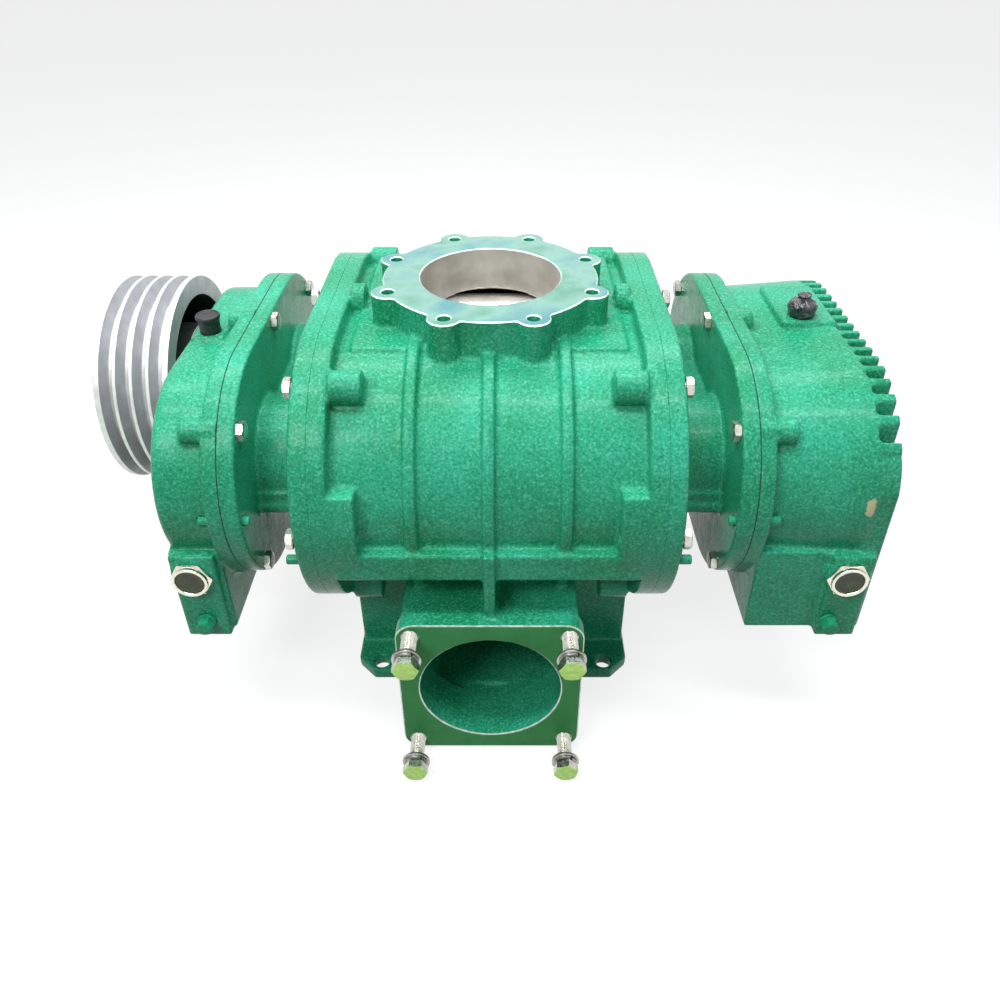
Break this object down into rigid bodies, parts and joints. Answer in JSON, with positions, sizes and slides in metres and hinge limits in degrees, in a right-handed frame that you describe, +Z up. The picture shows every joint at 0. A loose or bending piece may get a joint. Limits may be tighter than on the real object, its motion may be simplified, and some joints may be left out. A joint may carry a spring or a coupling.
{
  "type": "roots vacuum pump",
  "caption": "Belt-driven three-lobe roots vacuum pump: ribbed cast body, top inlet flange, square front outlet, finned gear cover and grooved pulley.",
  "frame": {"origin": "centre of the four foot bolts on the base plane", "axes": "+Z up, along the inlet's axis; +X along the shafts, from the pulley to the timing gears; -Y toward the outlet"},
  "size_m": [0.858, 0.5405, 0.47],
  "materials": {
    "green_casting": "glossy enamel over rough casting",
    "green_fitting": "painted over, glossy",
    "bolt_steel": "zinc plated",
    "washer_steel": "plain",
    "rotor_iron": "ground",
    "shaft_steel": "ground",
    "gear_steel": "hardened and ground",
    "bearing_steel": "polished",
    "seal_rubber": "moulded",
    "gasket_sheet": "compressed sheet, painted edge",
    "sight_metal": "nickel plated",
    "sight_lens": "clear over oil",
    "cap_plastic": "moulded black",
    "breather_cover": "wrapped in dark film",
    "pulley_iron": "turned and bare"
  },
  "bodies": {
    "pump_body": {"main_casing": "green_casting", "drive_end_plate": "green_casting", "gear_end_plate": "green_casting", "drive_end_cover": "green_casting", "gear_cover": "green_casting", "drive_cover_gasket": "gasket_sheet", "gear_cover_gasket": "gasket_sheet", "drive_plate_bolts": "bolt_steel", "gear_plate_bolts": "bolt_steel", "drive_ring_bolts": "bolt_steel", "gear_ring_bolts": "bolt_steel", "plate_dowels": "green_fitting", "ring_dowels": "green_fitting", "drive_bearing_outer_races": "bearing_steel", "gear_bearing_outer_races": "bearing_steel", "drive_bearing_retainers": "washer_steel", "gear_bearing_retainers": "washer_steel", "retainer_screws": "bolt_steel", "drive_oil_seals": "seal_rubber", "gear_oil_seals": "seal_rubber", "shaft_seal_housing": "green_casting", "seal_housing_screws": "bolt_steel", "shaft_lip_seals": "seal_rubber", "outlet_bolts": "bolt_steel", "outlet_spring_washers": "washer_steel", "outlet_flat_washers": "washer_steel", "drive_sight_glass_body": "sight_metal", "drive_sight_glass_lens": "sight_lens", "gear_sight_glass_body": "sight_metal", "gear_sight_glass_lens": "sight_lens", "drive_drain_plug": "green_fitting", "gear_drain_plug": "green_fitting", "oil_filler_cap": "cap_plastic", "breather_cap": "breather_cover"},
    "drive_train": {"drive_rotor": "rotor_iron", "drive_shaft": "shaft_steel", "drive_timing_gear": "gear_steel", "drive_shaft_bearing_inner_races": "bearing_steel", "drive_shaft_bearing_rollers": "bearing_steel", "drive_shaft_labyrinth_rings": "shaft_steel", "drive_shaft_locknuts": "shaft_steel", "drive_shaft_gear_spacer": "shaft_steel", "seal_sleeve": "shaft_steel", "belt_pulley": "pulley_iron", "taper_bush": "pulley_iron", "pulley_key": "shaft_steel"},
    "driven_train": {"driven_rotor": "rotor_iron", "driven_shaft": "shaft_steel", "driven_timing_gear": "gear_steel", "driven_shaft_bearing_inner_races": "bearing_steel", "driven_shaft_bearing_rollers": "bearing_steel", "driven_shaft_labyrinth_rings": "shaft_steel", "driven_shaft_locknuts": "shaft_steel", "driven_shaft_gear_spacer": "shaft_steel", "oil_slinger": "shaft_steel"}
  },
  "joints": [
    {"name": "drive_spin", "type": "hinge", "parent": "pump_body", "child": "drive_train", "pos_m": [0, 0.085, 0.295], "axis": [1, 0, 0], "continuous": true},
    {"name": "driven_spin", "type": "hinge", "parent": "pump_body", "child": "driven_train", "pos_m": [0, -0.085, 0.295], "axis": [1, 0, 0], "continuous": true}
  ],
  "couplings": [
    {"joint": "driven_spin", "follows": "drive_spin", "ratio": -1}
  ]
}
